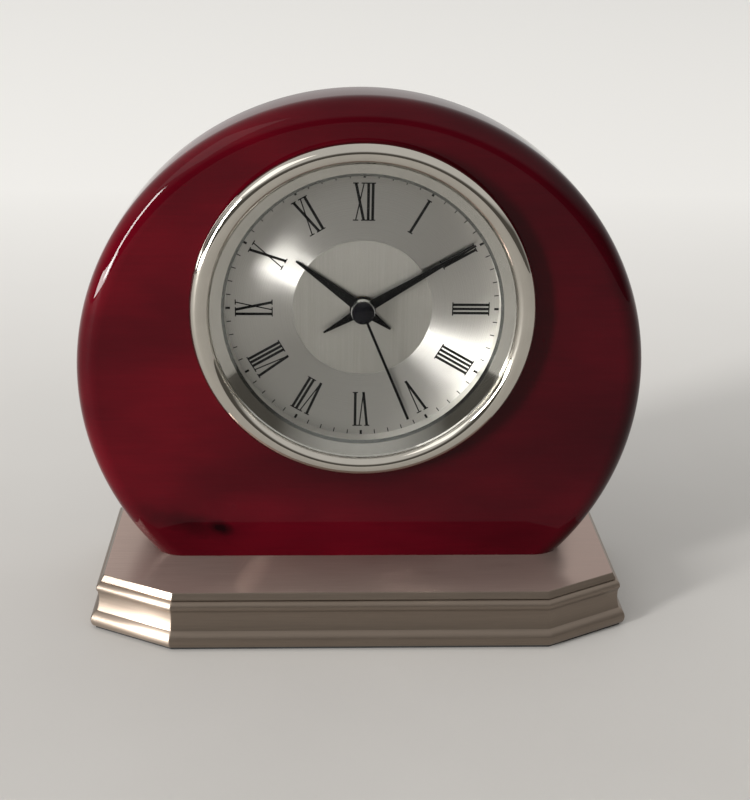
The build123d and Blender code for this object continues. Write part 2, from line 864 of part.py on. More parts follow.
with BuildPart() as back_plate:
    with BuildSketch(layer(back_plate_back)):
        plate_outline()
        with post_places():
            Circle(radius=movement_screw_radius + fit_gap, mode=Mode.SUBTRACT)
    extrude(amount=back_plate_thickness)
    for axis in (dial_axis, third_axis, intermediate_axis, rotor_axis):
        disc(pivot_radius + running_gap, back_plate_front, back_plate_back, axis, Mode.SUBTRACT)
    disc(set_arbor_radius + running_gap, back_plate_front, back_plate_back, set_axis, Mode.SUBTRACT)
write(back_plate, "back_plate")

with BuildPart() as movement_screws:
    with BuildSketch(layer(back_plate_back)):
        with post_places():
            Circle(radius=movement_screw_head_radius)
    extrude(amount=-movement_screw_head_height)
    with BuildSketch(layer(back_plate_back + movement_screw_head_height)):
        with post_places():
            Rectangle(2 * movement_screw_head_radius, movement_screw_slot_width)
    extrude(amount=movement_screw_head_height / 2, mode=Mode.SUBTRACT)
    with BuildSketch(layer(back_plate_back)):
        with post_places():
            Circle(radius=movement_screw_radius)
    extrude(amount=back_plate_thickness + movement_screw_reach - fit_gap)
write(movement_screws, "movement_screws")

# Stepping motor: magnet and pinion of the rotor, stator, core, bobbin and winding
with BuildPart() as rotor_pinion:
    toothed_disc(
        rotor_axis, rotor_teeth, rotor_module, driver_phase(rotor_axis, intermediate_axis),
        intermediate_wheel_front - pinion_overhang, intermediate_wheel_back + pinion_overhang,
    )
    arbor(rotor_axis)
write(rotor_pinion, "rotor_pinion")

with BuildPart() as rotor_magnet:
    disc(magnet_radius, magnet_front, magnet_back, rotor_axis)
    disc(wheel_arbor_radius + fit_gap, magnet_front, magnet_back, rotor_axis, Mode.SUBTRACT)
write(rotor_magnet, "rotor_magnet")

leg_height = coil_rise + core_height / 2 - rotor_axis[1]
with BuildPart() as stator:
    with BuildSketch(layer(stator_back, rotor_axis)):
        Rectangle(stator_width, stator_bar_height)
        with GridLocations(2 * stator_leg_place, 0, 2, 1):
            Rectangle(stator_leg_width, leg_height, align=(Align.CENTER, Align.MIN))
        Circle(radius=magnet_radius + stator_air_gap, mode=Mode.SUBTRACT)
    extrude(amount=stator_thickness)
write(stator, "stator")

with BuildPart() as coil_core:
    with BuildSketch(layer(stator_front, coil_axis)):
        Rectangle(stator_width, core_height)
    extrude(amount=stator_thickness)
write(coil_core, "coil_core")

with BuildPart() as coil_bobbin:
    with BuildSketch(coil_plane(-coil_length / 2)):
        Circle(radius=bobbin_radius)
    extrude(amount=coil_length)
    for start in (-coil_length / 2, coil_length / 2 - bobbin_flange_thickness):
        with BuildSketch(coil_plane(start)):
            Circle(radius=bobbin_flange_radius)
        extrude(amount=bobbin_flange_thickness)
    with BuildSketch(coil_plane(-coil_length / 2)):
        Rectangle(stator_thickness + 2 * fit_gap, core_height + 2 * fit_gap)
    extrude(amount=coil_length, mode=Mode.SUBTRACT)
write(coil_bobbin, "coil_bobbin")

with BuildPart() as coil_winding:
    with BuildSketch(coil_plane(bobbin_flange_thickness - coil_length / 2)):
        Circle(radius=coil_radius)
        Circle(radius=bobbin_radius, mode=Mode.SUBTRACT)
    extrude(amount=coil_length - 2 * bobbin_flange_thickness)
write(coil_winding, "coil_winding")

# Circuit board with its chip and crystal
with BuildPart() as circuit_board:
    with BuildSketch(layer(board_back, board_middle)):
        Rectangle(board_left - board_right, board_top + board_bottom)
    extrude(amount=board_thickness)
write(circuit_board, "circuit_board")

with BuildPart() as clock_chip:
    with BuildSketch(layer(board_back, board_middle)):
        Rectangle(chip_size, chip_size)
    extrude(amount=-chip_height)
    fillet(clock_chip.edges().filter_by(Axis.Y), radius=chip_size * chip_corner_share)
write(clock_chip, "clock_chip")

crystal_place = board_middle[1] + chip_size
with BuildPart() as quartz_crystal:
    with BuildSketch(Plane.XY.offset(dial_height + crystal_place)):
        with Locations((board_middle[0], board_back + crystal_radius)):
            Circle(radius=crystal_radius)
    extrude(amount=crystal_length)
write(quartz_crystal, "quartz_crystal")

# Going train, from the motor to the minute hand
with BuildPart() as intermediate_wheel:
    toothed_disc(
        intermediate_axis, intermediate_teeth, rotor_module,
        driven_phase(intermediate_axis, rotor_axis, intermediate_teeth),
        intermediate_wheel_front, intermediate_wheel_back,
    )
    toothed_disc(
        intermediate_axis, intermediate_pinion_teeth, intermediate_module,
        driver_phase(intermediate_axis, dial_axis),
        seconds_wheel_front - pinion_overhang, intermediate_wheel_front,
    )
    arbor(intermediate_axis)
write(intermediate_wheel, "intermediate_wheel")

with BuildPart() as seconds_wheel:
    toothed_disc(
        dial_axis, seconds_teeth, intermediate_module,
        driven_phase(dial_axis, intermediate_axis, seconds_teeth),
        seconds_wheel_front, seconds_wheel_back,
    )
    toothed_disc(
        dial_axis, seconds_pinion_teeth, seconds_module, driver_phase(dial_axis, third_axis),
        third_wheel_front - pinion_overhang, seconds_wheel_front,
    )
    disc(second_arbor_radius, second_hand_front, back_plate_front - end_shake)
    disc(pivot_radius, back_plate_front - end_shake, back_plate_front + pivot_length)
write(seconds_wheel, "seconds_wheel")

with BuildPart() as third_wheel:
    toothed_disc(
        third_axis, third_teeth, seconds_module, driven_phase(third_axis, dial_axis, third_teeth),
        third_wheel_front, third_wheel_back,
    )
    toothed_disc(
        third_axis, third_pinion_teeth, third_module, driver_phase(third_axis, dial_axis),
        centre_wheel_front - pinion_overhang, third_wheel_front,
    )
    arbor(third_axis)
write(third_wheel, "third_wheel")

with BuildPart() as centre_wheel:
    toothed_disc(
        dial_axis, centre_teeth, third_module, driven_phase(dial_axis, third_axis, centre_teeth),
        centre_wheel_front, centre_wheel_back,
    )
    toothed_disc(
        dial_axis, cannon_teeth, cannon_module, driver_phase(dial_axis, set_axis),
        minute_wheel_front - pinion_overhang, centre_wheel_front,
    )
    disc(minute_pipe_radius, collet_front, centre_wheel_back)
    disc(minute_pipe_bore, collet_front, centre_wheel_back, mode=Mode.SUBTRACT)
write(centre_wheel, "centre_wheel")

# Motion work, from the minute hand to the hour hand, and the hand setting
with BuildPart() as minute_wheel:
    toothed_disc(
        set_axis, minute_teeth, cannon_module, driven_phase(set_axis, dial_axis, minute_teeth),
        minute_wheel_front, minute_wheel_back,
    )
    toothed_disc(
        set_axis, minute_pinion_teeth, minute_module, driver_phase(set_axis, dial_axis),
        hour_wheel_front - pinion_overhang, minute_wheel_front,
    )
    disc(set_arbor_radius + fit_gap, hour_wheel_front - pinion_overhang, minute_wheel_back, set_axis,
         Mode.SUBTRACT)
write(minute_wheel, "minute_wheel")

with BuildPart() as hour_wheel:
    toothed_disc(
        dial_axis, hour_teeth, minute_module, driven_phase(dial_axis, set_axis, hour_teeth),
        hour_wheel_front, hour_wheel_back,
    )
    disc(hour_pipe_radius, hour_hand_front, hour_wheel_back)
    disc(hour_pipe_bore, hour_hand_front, hour_wheel_back, mode=Mode.SUBTRACT)
write(hour_wheel, "hour_wheel")

knob_front = case_back + knob_gap
knob_back = knob_front + knob_length
with BuildPart() as set_arbor:
    disc(pivot_radius, front_plate_back - pivot_length, front_plate_back + end_shake, set_axis)
    disc(set_arbor_radius, front_plate_back + end_shake, knob_back - knob_length / 2 - fit_gap, set_axis)
write(set_arbor, "set_arbor")

with BuildPart() as set_knob:
    disc(knob_radius, knob_front, knob_back, set_axis)
    fillet(set_knob.edges().filter_by(GeomType.CIRCLE), radius=knob_edge_radius)
    with BuildSketch(layer(knob_back, set_axis)):
        with PolarLocations(knob_radius, knob_flutes):
            Circle(radius=knob_flute_radius)
    extrude(amount=knob_length, mode=Mode.SUBTRACT)
    disc(set_arbor_radius + fit_gap, knob_front, knob_back - knob_length / 2, set_axis, Mode.SUBTRACT)
write(set_knob, "set_knob")

# Hands
with BuildPart() as hour_hand:
    with BuildSketch(layer(hour_hand_back, turn=hour_hand_angle)):
        hand_outline(hour_hand_length, hour_hand_tail, hour_hand_width, hour_hub_radius)
        Circle(radius=hour_pipe_radius + fit_gap, mode=Mode.SUBTRACT)
    extrude(amount=hand_thickness)
write(hour_hand, "hour_hand")

with BuildPart() as minute_collet:
    disc(collet_radius, collet_front, minute_hand_front)
    disc(minute_pipe_radius + fit_gap, collet_front, minute_hand_front, mode=Mode.SUBTRACT)
write(minute_collet, "minute_collet")

with BuildPart() as minute_hand:
    with BuildSketch(layer(minute_hand_back, turn=minute_hand_angle)):
        hand_outline(minute_hand_length, minute_hand_tail, minute_hand_width, minute_hub_radius)
        Circle(radius=minute_pipe_radius + fit_gap, mode=Mode.SUBTRACT)
    extrude(amount=hand_thickness)
write(minute_hand, "minute_hand")

with BuildPart() as second_hand:
    with BuildSketch(layer(second_hand_back, turn=second_hand_angle)):
        Rectangle(second_hand_width, second_hand_length, align=(Align.CENTER, Align.MIN))
        Circle(radius=second_hub_radius)
        Circle(radius=second_arbor_radius + fit_gap, mode=Mode.SUBTRACT)
    extrude(amount=hand_thickness)
write(second_hand, "second_hand")

with BuildPart() as hand_cap:
    with BuildSketch(section()):
        with BuildLine():
            Line((second_hand_front, 0), (second_hand_front, cap_radius))
            Line((second_hand_front, cap_radius), (second_hand_front - cap_rim, cap_radius))
            TangentArc((second_hand_front - cap_height, 0), (second_hand_front - cap_rim, cap_radius),
                       tangent=(0, 1))
            Line((second_hand_front - cap_height, 0), (second_hand_front, 0))
        make_face()
    revolve(axis=dial_spin())
write(hand_cap, "hand_cap")
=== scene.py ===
import json
import math

import bmesh
import bpy
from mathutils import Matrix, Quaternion, Vector


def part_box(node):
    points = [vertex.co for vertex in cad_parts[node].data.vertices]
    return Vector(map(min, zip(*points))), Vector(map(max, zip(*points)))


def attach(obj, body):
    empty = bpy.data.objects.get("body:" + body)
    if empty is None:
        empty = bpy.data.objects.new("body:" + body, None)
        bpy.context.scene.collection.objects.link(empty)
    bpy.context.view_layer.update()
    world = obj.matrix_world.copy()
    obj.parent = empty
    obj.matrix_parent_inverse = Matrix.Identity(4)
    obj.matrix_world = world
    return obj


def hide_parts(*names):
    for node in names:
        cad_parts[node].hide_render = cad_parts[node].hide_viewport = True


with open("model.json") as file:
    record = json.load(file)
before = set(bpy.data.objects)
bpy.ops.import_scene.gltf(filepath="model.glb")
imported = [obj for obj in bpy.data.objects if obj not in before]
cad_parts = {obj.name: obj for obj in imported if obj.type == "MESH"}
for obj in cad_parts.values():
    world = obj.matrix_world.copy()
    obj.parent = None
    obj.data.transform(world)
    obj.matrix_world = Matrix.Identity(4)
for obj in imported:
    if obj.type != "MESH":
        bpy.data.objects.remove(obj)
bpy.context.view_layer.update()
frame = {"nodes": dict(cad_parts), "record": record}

# Looks of the wooden desk clock. Metres; Z is up and the dial faces -Y, as in the frame.
MM = 0.001

# Sizes read from the frame
wood_low, wood_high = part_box("wood_body")
plinth_low, plinth_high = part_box("base_plinth")
bezel_low, bezel_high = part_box("bezel")
lens_low, lens_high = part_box("lens")
dial_low, dial_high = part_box("dial")
case_low, case_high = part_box("insert_case")
body_radius = (wood_high.x - wood_low.x) / 2
body_centre = wood_high.z - body_radius
dial_axis = (dial_low.z + dial_high.z) / 2
dial_radius = (dial_high.x - dial_low.x) / 2
bezel_radius = (bezel_high.x - bezel_low.x) / 2
lens_radius = (lens_high.x - lens_low.x) / 2
case_radius = (case_high.x - case_low.x) / 2

# Wooden body
wood_edge_radius = 6.0 * MM
wood_edge_steps = 12
wood_arc_steps = 288
wood_flat_margin = 0.3 * MM
bore_room = 0.95 * MM
bore_radius = case_radius + bore_room

# Plinth's plan at its top edge
plinth_half_width = 69.5 * MM
plinth_half_depth = 32.4 * MM
plinth_front_half_width = 50.0 * MM
plinth_corner_depth = 10.2 * MM
plinth_mitre_radius = 0.3 * MM
plinth_mitre_segments = 3
plinth_sharp_degrees = 28

# Moulding round the plinth: drops below the top edge; the crown is where the foot stands out most
edge_crown_drop = 0.08 * MM
edge_drop = 0.25 * MM
band_drop = 1.7 * MM
band_round = 0.1 * MM
groove_drop = 2.0 * MM
lip_drop = 4.7 * MM
cove_drop = 10.2 * MM
foot_crown_share = 0.53

# Moulding: outsets from the top edge, and the steps of its arcs
edge_crown_outset = 0.12 * MM
edge_outset = 0.2 * MM
band_top_outset = 0.97 * MM
band_outset = 0.99 * MM
band_foot_outset = 0.93 * MM
groove_outset = 0.75 * MM
lip_outset = 2.15 * MM
cove_top_outset = 1.85 * MM
cove_middle_outset = 1.775 * MM
cove_foot_outset = 2.4 * MM
foot_outset = 4.0 * MM
foot_sole_outset = 3.6 * MM
edge_steps = 4
band_steps = 3
moulding_steps = 8

# Insert: bezel, glass and the sloping ring
lens_overlap = 0.6 * MM
opening_radius = lens_radius - lens_overlap
bezel_shoulder = 2.4 * MM
bezel_draft = 0.3 * MM
bezel_seat_gap = 0.05 * MM
bezel_skirt_wall = 0.8 * MM
ring_radius = 36.0 * MM
ring_wall = 0.45 * MM
ring_step = 4.0 * MM
ring_land = 0.6 * MM
ring_band_width = 0.8 * MM
ring_band_step = 0.12 * MM
crest_steps = 40
lathe_steps = 256
weld_distance = 0.0001 * MM
fine_sharp_degrees = 10

# Dial: brushed middle, its rim line, and the print
dial_bore = 3.4 * MM
dial_middle_radius = 18.5 * MM
dial_rim_width = 0.35 * MM
dial_rim_height = 0.05 * MM
print_height = 0.03 * MM
serif_lift = print_height / 10
numeral_foot = 23.6 * MM
numeral_height = 9.9 * MM
stem_width = 0.72 * MM
hairline = 0.32 * MM
serif_thickness = 0.3 * MM
serif_reach = 0.34 * MM
stem_pitch = 1.14 * MM
arm_spread = 2.1 * MM
tick_foot = 34.75 * MM
tick_tip = 35.95 * MM
tick_width = 0.26 * MM
hour_tick_width = 0.62 * MM
numerals = ("XII", "I", "II", "III", "IIII", "V", "VI", "VII", "VIII", "IX", "X", "XI")
dial_degrees = 360
minute_count = 60
minutes_per_numeral = minute_count // len(numerals)

# Floor: its tone near the clock, the paler tone behind it, and the depth over which one becomes the other
floor_half_size = 2.5
floor_fade_depth = 0.5
floor_near_dark = (0.54, 0.525, 0.505)
floor_near_light = (0.57, 0.555, 0.535)
floor_far = (0.9, 0.89, 0.87)

# Sky: dim in front of the clock, pale behind and above it
sky_front = (0.14, 0.13, 0.115)
sky_pale = (1.0, 0.99, 0.97)
sky_front_end = 0.4
sky_back_start = 0.75
overhead_start = 0.25
overhead_end = 0.45
sky_strength = 0.74

# Lamps: a tall window far to the left, a small pane up on the left, and a low glare far to the left.
# The two far lamps stand beyond the floor's edge, so that they leave no bright patch on it.
lamp_colour = (1.0, 0.99, 0.97)
lamps = {
    "window": dict(place=(-6.6, -4.5, 1.97), aim=(0, 0, 0.07), width=1.0, height=3.6, watts=640.0),
    "window_top": dict(place=(-0.5, -0.34, 0.66), aim=(0, 0, 0.07), width=0.5, height=0.4, watts=0.8),
    "window_glare": dict(place=(-3.6, -1.84, 0.26), aim=(0, 0, 0.06), width=2.0, height=0.48, watts=105.0),
}

# Camera: where the photograph was taken from
camera_target = Vector((3.53 * MM, wood_low.y, dial_axis - 24.37 * MM))
camera_distance = 353.54 * MM
camera_yaw = math.radians(2.7723)
camera_pitch = math.radians(21.964)
camera_roll = math.radians(1.1336)
camera_clip_start = 10.0 * MM
camera_focal_pixels = 1323.28
picture_height_pixels = 800
sensor_height = 36.0

white = (1.0, 1.0, 1.0)
black = (0.0, 0.0, 0.0)


def feed(tree, socket, value):
    """Link an input to another node's output, or set its value."""
    if isinstance(value, bpy.types.NodeSocket):
        tree.links.new(value, socket)
    else:
        socket.default_value = value


def node(tree, kind, inputs=None, **settings):
    """Add a shader node; an input is a socket to link or a value to set."""
    made = tree.nodes.new(kind)
    for key, value in settings.items():
        setattr(made, key, value)
    for key, value in (inputs or {}).items():
        feed(tree, made.inputs[key], value)
    return made


def new_material(name, **constants):
    """Material with one principled shader; constants are its sockets, named with underscores."""
    made = bpy.data.materials.new(name)
    made.use_nodes = True
    shader = made.node_tree.nodes["Principled BSDF"]
    for key, value in constants.items():
        shader.inputs[key.replace("_", " ")].default_value = value
    return made, made.node_tree, shader


def wire(tree, shader, **outputs):
    """Link outputs to a shader's sockets, named with underscores."""
    for key, output in outputs.items():
        tree.links.new(output, shader.inputs[key.replace("_", " ")])


def millimetres(tree, scale=(1, 1, 1)):
    """Object coordinates in millimetres, stretched by a scale."""
    place = node(tree, "ShaderNodeTexCoord")
    mapping = node(tree, "ShaderNodeMapping", {
        "Vector": place.outputs["Object"],
        "Scale": tuple(share / MM for share in scale),
    })
    return mapping.outputs["Vector"]


def noise(tree, place, scale, detail=4.0, roughness=0.5):
    """Factor of a noise texture."""
    return node(tree, "ShaderNodeTexNoise", {
        "Vector": place, "Scale": scale, "Detail": detail, "Roughness": roughness,
    }).outputs["Fac"]


def ramp(tree, factor, *stops):
    """Colour ramp through (place, colour) stops."""
    made = node(tree, "ShaderNodeValToRGB", {"Fac": factor})
    while len(made.color_ramp.elements) < len(stops):
        made.color_ramp.elements.new(0.5)
    for element, (place, colour) in zip(made.color_ramp.elements, stops):
        element.position = place
        element.color = (*colour, 1)
    return made.outputs["Color"]


def two_tone(tree, factor, dark, light):
    """Ramp from a dark to a light tone over the middle of a noise."""
    return ramp(tree, factor, (0.3, dark), (0.7, light))


def dimmed(colour, share):
    """A colour with all its parts lowered to a share."""
    return tuple(share * part for part in colour)


def spread(tree, factor, low, high):
    """A factor spread from 0..1 to low..high."""
    return node(tree, "ShaderNodeMapRange", {
        "Value": factor, "To Min": low, "To Max": high,
    }).outputs["Result"]


def rise(tree, value, start, end):
    """A factor that rises from 0 where a value is at its start to 1 at its end."""
    return node(tree, "ShaderNodeMapRange", {
        "Value": value, "From Min": start, "From Max": end,
    }).outputs["Result"]


def bump(tree, height, depth, strength):
    """Normal from a height; depth is in metres."""
    return node(tree, "ShaderNodeBump", {
        "Height": height, "Distance": depth, "Strength": strength,
    }).outputs["Normal"]


def math_node(tree, operation, *values):
    """Result of a math node."""
    made = node(tree, "ShaderNodeMath", operation=operation)
    for place, value in enumerate(values):
        feed(tree, made.inputs[place], value)
    return made.outputs["Value"]


def vector_node(tree, operation, *values):
    """Vector math node."""
    return node(tree, "ShaderNodeVectorMath", dict(enumerate(values)), operation=operation)


def mix_colours(tree, factor, first, second, blend="MIX"):
    """Two colours mixed by a factor."""
    made = node(tree, "ShaderNodeMix", {0: factor}, data_type="RGBA", blend_type=blend)
    for place, colour in ((6, first), (7, second)):
        linked = isinstance(colour, bpy.types.NodeSocket)
        feed(tree, made.inputs[place], colour if linked else (*colour, 1))
    return made.outputs[2]


def spot(tree, centre, tilt, half_length, half_width, ragged):
    """Distance from a slanted ellipse on the wood's face: 0 at its middle, 1 at its edge."""
    level = node(tree, "ShaderNodeMapping", {
        "Vector": millimetres(tree), "Location": (-centre[0], 0, -centre[1]),
    }).outputs["Vector"]
    turned = node(tree, "ShaderNodeMapping", {
        "Vector": level, "Rotation": (0, math.radians(tilt), 0),
    }).outputs["Vector"]
    patches = node(tree, "ShaderNodeTexNoise", {"Vector": level, "Scale": 0.25, "Detail": 4.0})
    shift = vector_node(tree, "SUBTRACT", patches.outputs["Color"], (0.5, 0.5, 0.5)).outputs["Vector"]
    loose = vector_node(tree, "MULTIPLY_ADD", shift, (2 * ragged, 0.0, ragged), turned).outputs["Vector"]
    flat = vector_node(tree, "MULTIPLY", loose, (1 / half_length, 0.0, 1 / half_width)).outputs["Vector"]
    return vector_node(tree, "LENGTH", flat).outputs["Value"]


def rosewood():
    """Wine-red lacquered wood: soft clouds, faint level grain, a knot with its streak, and a clear coat; a
    painted glow low in the middle and painted shade towards the right side.
    """
    dark, middle, light = (0.062, 0.0006, 0.0042), (0.098, 0.001, 0.006), (0.145, 0.0015, 0.008)
    grain_share = 0.15
    made, tree, shader = new_material(
        "rosewood", Roughness=0.4, Specular_IOR_Level=0.0,
        Coat_Weight=1.0, Coat_Roughness=0.012, Coat_IOR=1.24,
    )
    clouds = noise(tree, millimetres(tree, (0.45, 1, 1)), scale=0.03, detail=3.0, roughness=0.55)
    grain = noise(tree, millimetres(tree, (0.05, 0.4, 1)), scale=1.4, detail=6.0, roughness=0.65)
    figure = math_node(
        tree, "ADD",
        math_node(tree, "MULTIPLY", clouds, 1 - grain_share),
        math_node(tree, "MULTIPLY", grain, grain_share),
    )
    # Painted glow: the wood keeps full colour inside a soft ellipse low in the middle and is dimmed round it,
    # a painted pool of light
    painted_glow = spot(tree, centre=(-6.0, 24.0), tilt=0, half_length=44.0, half_width=16.0, ragged=2.0)
    streak = spot(tree, centre=(-47.0, 25.6), tilt=-16, half_length=18.0, half_width=4.2, ragged=3.5)
    knot = spot(tree, centre=(-38.5, 24.3), tilt=-20, half_length=4.4, half_width=2.4, ragged=1.2)
    across = node(tree, "ShaderNodeSeparateXYZ", {0: millimetres(tree)}).outputs["X"]
    # Painted shade: the wood darkens from left to right, as though the light falls from the left
    painted_side_shade = rise(tree, across, -40.0, 70.0)
    layers = (
        ramp(tree, painted_glow, (0.0, white), (1.0, (0.56, 0.56, 0.58))),
        ramp(tree, streak, (0.0, (0.4, 0.45, 0.5)), (1.0, white)),
        ramp(tree, knot, (0.25, (0.14, 0.25, 0.3)), (1.0, white)),
        ramp(tree, painted_side_shade, (0.0, white), (1.0, (0.58, 0.75, 0.75))),
    )
    colour = ramp(tree, figure, (0.34, dark), (0.5, middle), (0.64, light))
    for layer in layers:
        colour = mix_colours(tree, 1.0, colour, layer, "MULTIPLY")
    wave = noise(tree, millimetres(tree), scale=0.05, detail=1.0)
    wire(tree, shader, Base_Color=colour, Coat_Normal=bump(tree, wave, 0.15 * MM, 0.12),
         Normal=bump(tree, grain, 0.02 * MM, 0.2))
    return made


def brushed(name, colour, along, roughness, strength=0.25, across=None, **constants):
    """Metal with scratches stretched along some axes; across is the direction over them that blurs more."""
    made, tree, shader = new_material(name, Metallic=1.0, **constants)
    if across:
        tangent = node(tree, "ShaderNodeCombineXYZ", dict(zip("XYZ", across)))
        wire(tree, shader, Tangent=tangent.outputs["Vector"])
    scratches = noise(tree, millimetres(tree, along), scale=2.2, detail=5.0, roughness=0.7)
    tone = noise(tree, millimetres(tree), scale=0.04, detail=3.0)
    dark = dimmed(colour, 0.86)
    shade = two_tone(tree, scratches, dark, colour)
    shade = mix_colours(tree, spread(tree, tone, 0.0, 0.25), shade, dark)
    wire(tree, shader, Base_Color=shade, Roughness=spread(tree, scratches, roughness * 0.8, roughness * 1.25),
         Normal=bump(tree, scratches, 0.01 * MM, strength))
    return made


def polished(name, colour, roughness):
    """Plated metal, polished, with faint smudges."""
    smudge = 0.03
    made, tree, shader = new_material(name, Metallic=1.0)
    smear = noise(tree, millimetres(tree), scale=0.12, detail=5.0, roughness=0.6)
    fine = noise(tree, millimetres(tree), scale=1.6, detail=3.0)
    dark = dimmed(colour, 0.93)
    rough = math_node(
        tree, "ADD",
        spread(tree, smear, roughness, roughness + smudge),
        math_node(tree, "MULTIPLY", fine, smudge / 2),
    )
    wire(tree, shader, Base_Color=ramp(tree, smear, (0.35, colour), (0.7, dark)), Roughness=rough)
    return made


def moulded(name, colour, roughness, grain=0.4, **constants):
    """Moulded plastic, rubber, resin or ink with a fine grain."""
    made, tree, shader = new_material(name, **constants)
    mottle = noise(tree, millimetres(tree), scale=0.15)
    texture = noise(tree, millimetres(tree), scale=6.0, detail=2.0)
    light = tuple(min(1.0, 1.18 * part + 0.002) for part in colour)
    dark = dimmed(colour, 0.85)
    wire(tree, shader, Base_Color=two_tone(tree, mottle, dark, light),
         Roughness=spread(tree, texture, roughness * 0.85, min(1.0, roughness * 1.2)),
         Normal=bump(tree, texture, 0.02 * MM, grain))
    return made


def spun_silver():
    """Dial's outer zone: circular turning marks."""
    dark, light = (0.38, 0.372, 0.347), (0.49, 0.481, 0.455)
    made, tree, shader = new_material("dial_spun", Metallic=1.0, Anisotropic=1.0, Anisotropic_Rotation=0.25)
    place = node(tree, "ShaderNodeSeparateXYZ", {0: millimetres(tree)})
    height = math_node(tree, "SUBTRACT", place.outputs["Z"], dial_axis / MM)
    across = math_node(tree, "MULTIPLY", place.outputs["X"], place.outputs["X"])
    upright = math_node(tree, "MULTIPLY", height, height)
    radius = math_node(tree, "SQRT", math_node(tree, "ADD", across, upright))
    marks = node(tree, "ShaderNodeTexNoise", {
        "W": radius, "Scale": 7.0, "Detail": 4.0, "Roughness": 0.7,
    }, noise_dimensions="1D").outputs["Fac"]
    tangent = node(tree, "ShaderNodeTangent", direction_type="RADIAL", axis="Y")
    wire(tree, shader, Base_Color=two_tone(tree, marks, dark, light),
         Roughness=spread(tree, marks, 0.37, 0.43), Tangent=tangent.outputs["Tangent"])
    return made


def glass():
    """Clear flat glass that lets light through to the dial."""
    made, tree, shader = new_material("lens_glass", Roughness=0.0, IOR=1.1, Transmission_Weight=1.0)
    tint = noise(tree, millimetres(tree), scale=0.02, detail=2.0)
    wire(tree, shader, Base_Color=two_tone(tree, tint, (0.985, 0.99, 0.988), white))
    path = node(tree, "ShaderNodeLightPath")
    clear = node(tree, "ShaderNodeBsdfTransparent")
    through = math_node(tree, "MAXIMUM", path.outputs["Is Shadow Ray"], path.outputs["Is Diffuse Ray"])
    mixed = node(tree, "ShaderNodeMixShader", {
        0: through, 1: shader.outputs["BSDF"], 2: clear.outputs["BSDF"],
    })
    tree.links.new(mixed.outputs["Shader"], tree.nodes["Material Output"].inputs["Surface"])
    return made


# Brushed and satin metals
brushed_looks = {
    # The plinth's sides are a darkened copy of the top's metal: painted shade standing in for dark
    # reflections
    "plinth_metal": dict(colour=(0.265, 0.215, 0.175), along=(0.03, 0.03, 1), roughness=0.3, strength=0.12,
                         across=(0, 0, 1), Anisotropic=0.9),
    "plinth_top": dict(colour=(0.52, 0.395, 0.35), along=(0.03, 1, 1), roughness=0.36, across=(0, 1, 0),
                       Anisotropic=1.0),
    "dial_middle": dict(colour=(0.33, 0.322, 0.295), along=(1, 1, 0.02), roughness=0.42, across=(1, 0, 0),
                        Anisotropic=0.8),
    "screw_steel": dict(colour=(0.62, 0.62, 0.62), along=(1, 1, 1), roughness=0.3),
    "collet_steel": dict(colour=(0.78, 0.78, 0.76), along=(1, 1, 1), roughness=0.25),
    "brass": dict(colour=(0.75, 0.55, 0.22), along=(1, 1, 1), roughness=0.25),
    "contact_steel": dict(colour=(0.72, 0.71, 0.67), along=(0.1, 1, 1), roughness=0.25),
    "core_iron": dict(colour=(0.5, 0.5, 0.51), along=(0.1, 1, 1), roughness=0.35),
    "copper_wire": dict(colour=(0.7, 0.3, 0.14), along=(1, 0.05, 0.05), roughness=0.3),
    "crystal_can": dict(colour=(0.72, 0.72, 0.72), along=(1, 1, 0.1), roughness=0.22),
}

# Plated metals
polished_looks = {
    "bezel_chrome": dict(colour=(0.56, 0.53, 0.475), roughness=0.03),
    # The band round the ring's inner edge is a darkened copy of the ring's metal: painted shade
    "ring_band": dict(colour=(0.16, 0.165, 0.155), roughness=0.08),
    "ring_slope": dict(colour=(0.48, 0.47, 0.43), roughness=0.05),
    "ring_wall": dict(colour=(0.6, 0.59, 0.56), roughness=0.45),
}

# Plastic, rubber, resin, paint and ink, and the rotor's magnet
moulded_looks = {
    "pad_rubber": dict(colour=(0.02, 0.02, 0.02), roughness=0.8),
    "hand_black": dict(colour=(0.002, 0.002, 0.002), roughness=0.35, grain=0.1, Specular_IOR_Level=0.08),
    "cap_black": dict(colour=(0.002, 0.002, 0.003), roughness=0.08, grain=0.02, Specular_IOR_Level=0.15),
    "dial_print": dict(colour=(0.004, 0.004, 0.004), roughness=0.45, grain=0.05, Specular_IOR_Level=0.1),
    "case_plastic": dict(colour=(0.012, 0.012, 0.013), roughness=0.5),
    "grip_rubber": dict(colour=(0.02, 0.02, 0.02), roughness=0.75),
    "plate_plastic": dict(colour=(0.02, 0.02, 0.022), roughness=0.5),
    "gear_plastic": dict(colour=(0.7, 0.67, 0.58), roughness=0.45),
    "battery_wrap": dict(colour=(0.02, 0.035, 0.07), roughness=0.3),
    "magnet": dict(colour=(0.05, 0.05, 0.055), roughness=0.4, Metallic=0.8),
    "bobbin_plastic": dict(colour=(0.6, 0.56, 0.45), roughness=0.5),
    "board": dict(colour=(0.05, 0.09, 0.02), roughness=0.5),
    "chip_resin": dict(colour=(0.006, 0.006, 0.006), roughness=0.4),
}

materials = {"rosewood": rosewood(), "dial_silver": spun_silver(), "lens_glass": glass()}
for family, looks in ((brushed, brushed_looks), (polished, polished_looks), (moulded, moulded_looks)):
    for name, look in looks.items():
        materials[name] = family(name, **look)

for part in frame["record"]["subparts"]:
    shown = frame["nodes"][part["node"]]
    finish = materials[part["material_slot"]]
    if shown.material_slots:
        for slot in shown.material_slots:
            slot.material = finish
    else:
        shown.data.materials.append(finish)


